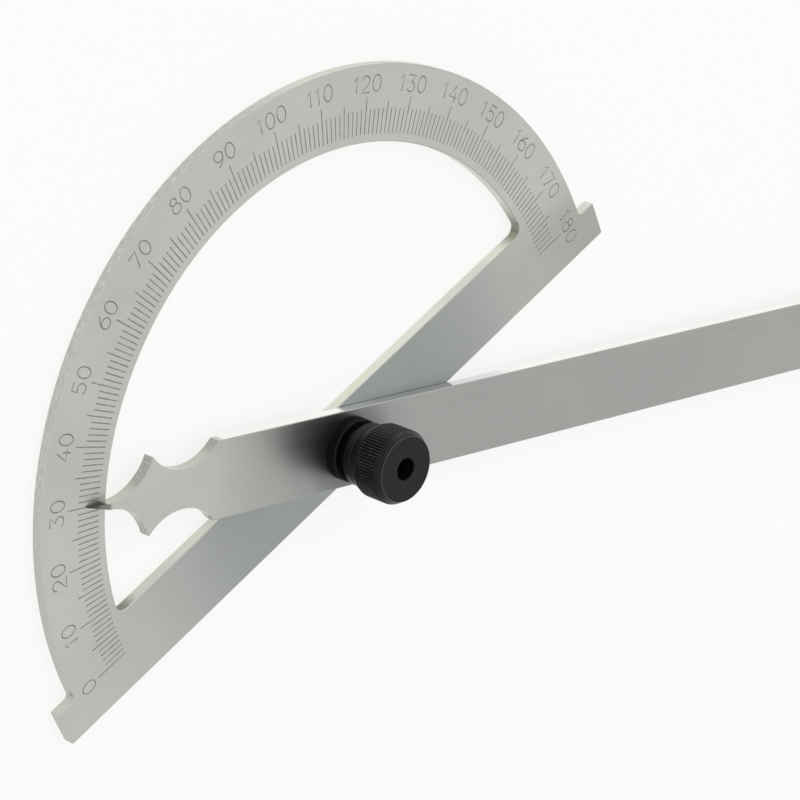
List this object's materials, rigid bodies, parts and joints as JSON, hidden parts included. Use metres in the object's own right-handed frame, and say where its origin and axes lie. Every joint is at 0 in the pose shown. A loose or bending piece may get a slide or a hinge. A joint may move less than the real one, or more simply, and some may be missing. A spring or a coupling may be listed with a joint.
{
  "type": "bevel protractor",
  "caption": "Semicircular bevel protractor with an open arc scale, a pointed swinging blade and a knurled clamp nut.",
  "frame": {"origin": "where the pivot axis meets the back face of the arc plate, which is the face it rests on", "axes": "+Z is the pivot axis, from the back face to the nut; +X runs along the base bar to the scale's 180 end; +Y points to the middle of the arc"},
  "size_m": [0.2962, 0.2158, 0.0266],
  "materials": {
    "plate_chrome": "satin chrome",
    "blade_chrome": "satin chrome, ground lengthwise",
    "stud_steel": "bright turned",
    "washer_black": "black oxide",
    "nut_black": "black oxide, knurled"
  },
  "bodies": {
    "protractor": {"protractor_plate": "plate_chrome", "pivot_stud": "stud_steel"},
    "blade": {"blade": "blade_chrome"},
    "washer": {"clamp_washer": "washer_black"},
    "nut": {"knurled_nut": "nut_black"}
  },
  "joints": [
    {"name": "blade_swing", "type": "hinge", "parent": "protractor", "child": "blade", "pos_m": [0, 0, 0.0048], "axis": [0, 0, -1], "range_deg": [-30, 150]},
    {"name": "washer_lift", "type": "slide", "parent": "protractor", "child": "washer", "axis": [0, 0, 1], "range_m": [0, 0.004]},
    {"name": "nut_turn", "type": "hinge", "parent": "washer", "child": "nut", "pos_m": [0, 0, 0.0205], "axis": [0, 0, 1], "range_deg": [0, 1440.4]}
  ],
  "couplings": [
    {"joint": "nut_turn", "follows": "washer_lift", "rad_per_m": 6283.2}
  ]
}
